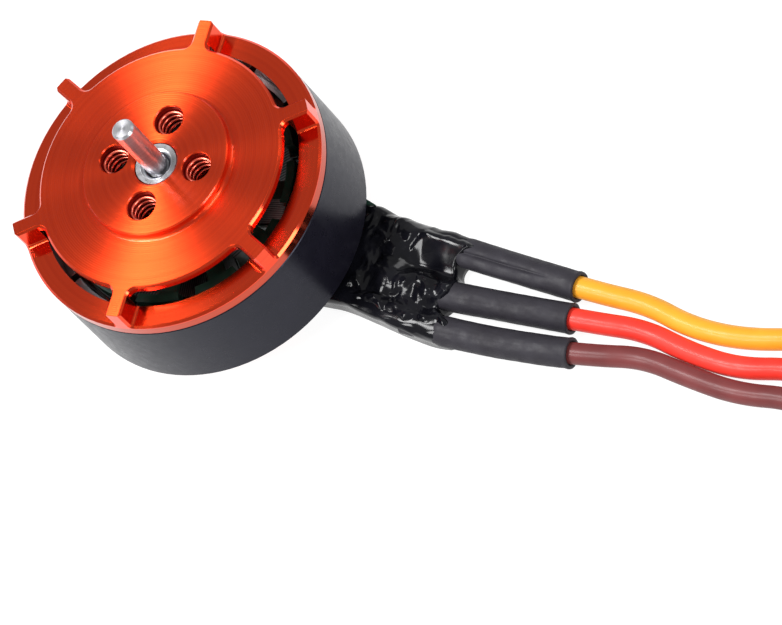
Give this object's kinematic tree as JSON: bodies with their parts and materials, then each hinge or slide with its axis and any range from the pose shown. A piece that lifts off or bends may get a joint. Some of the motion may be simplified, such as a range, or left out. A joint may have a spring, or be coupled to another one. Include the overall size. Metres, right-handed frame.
{
  "type": "brushless outrunner motor",
  "caption": "Small brushless outrunner motor with a spoked end bell that turns with its can, a fixed wound stator and base, and phase leads to bullet connectors.",
  "frame": {"origin": "centre of the mounting base's bottom face, on the shaft axis", "axes": "+Z along the shaft towards its free end, +X towards the side where the leads leave"},
  "size_m": [0.0891, 0.021, 0.0168],
  "materials": {
    "anodised_aluminium": "satin",
    "black_steel": "satin",
    "plated_magnet": "satin",
    "ground_steel": "satin",
    "bearing_steel": "polished",
    "cage_brass": "satin",
    "spring_steel": "satin",
    "lamination_steel": "satin",
    "insulator_green": "glossy",
    "copper_wire": "glossy",
    "solder": "satin",
    "glue_black": "glossy",
    "shrink_black": "satin",
    "lead_yellow": "glossy",
    "lead_red": "glossy",
    "lead_brown": "glossy",
    "gold_plate": "polished"
  },
  "bodies": {
    "stator": {"mount_base": "anodised_aluminium", "stator_core": "lamination_steel", "lower_insulator": "insulator_green", "upper_insulator": "insulator_green", "phase_a_coils": "copper_wire", "phase_b_coils": "copper_wire", "phase_c_coils": "copper_wire", "lower_bearing_outer_race": "bearing_steel", "lower_bearing_shields": "bearing_steel", "upper_bearing_outer_race": "bearing_steel", "upper_bearing_shields": "bearing_steel", "glue_wrap": "glue_black", "yellow_winding_tail": "copper_wire", "yellow_splice": "solder", "yellow_sleeve": "shrink_black", "yellow_lead": "lead_yellow", "yellow_bullet_boot": "shrink_black", "yellow_bullet": "gold_plate", "red_winding_tail": "copper_wire", "red_splice": "solder", "red_sleeve": "shrink_black", "red_lead": "lead_red", "red_bullet_boot": "shrink_black", "red_bullet": "gold_plate", "brown_winding_tail": "copper_wire", "brown_splice": "solder", "brown_sleeve": "shrink_black", "brown_lead": "lead_brown", "brown_bullet_boot": "shrink_black", "brown_bullet": "gold_plate"},
    "rotor": {"end_bell": "anodised_aluminium", "rotor_can": "black_steel", "magnets": "plated_magnet", "shaft": "ground_steel", "shaft_bush": "ground_steel", "upper_shim": "spring_steel", "lower_shim": "spring_steel", "retaining_clip": "spring_steel", "lower_bearing_inner_race": "bearing_steel", "upper_bearing_inner_race": "bearing_steel"},
    "lower_ball_set": {"lower_bearing_balls": "bearing_steel", "lower_bearing_cage": "cage_brass"},
    "upper_ball_set": {"upper_bearing_balls": "bearing_steel", "upper_bearing_cage": "cage_brass"}
  },
  "joints": [
    {"name": "rotor_spin", "type": "hinge", "parent": "stator", "child": "rotor", "pos_m": [0, 0, 0.0057], "axis": [0, 0, 1], "continuous": true},
    {"name": "lower_ball_orbit", "type": "hinge", "parent": "stator", "child": "lower_ball_set", "pos_m": [0, 0, 0.00169], "axis": [0, 0, 1], "continuous": true},
    {"name": "upper_ball_orbit", "type": "hinge", "parent": "stator", "child": "upper_ball_set", "pos_m": [0, 0, 0.00821], "axis": [0, 0, 1], "continuous": true}
  ],
  "couplings": [
    {"joint": "lower_ball_orbit", "follows": "rotor_spin", "ratio": 0.3857},
    {"joint": "upper_ball_orbit", "follows": "rotor_spin", "ratio": 0.3857}
  ]
}
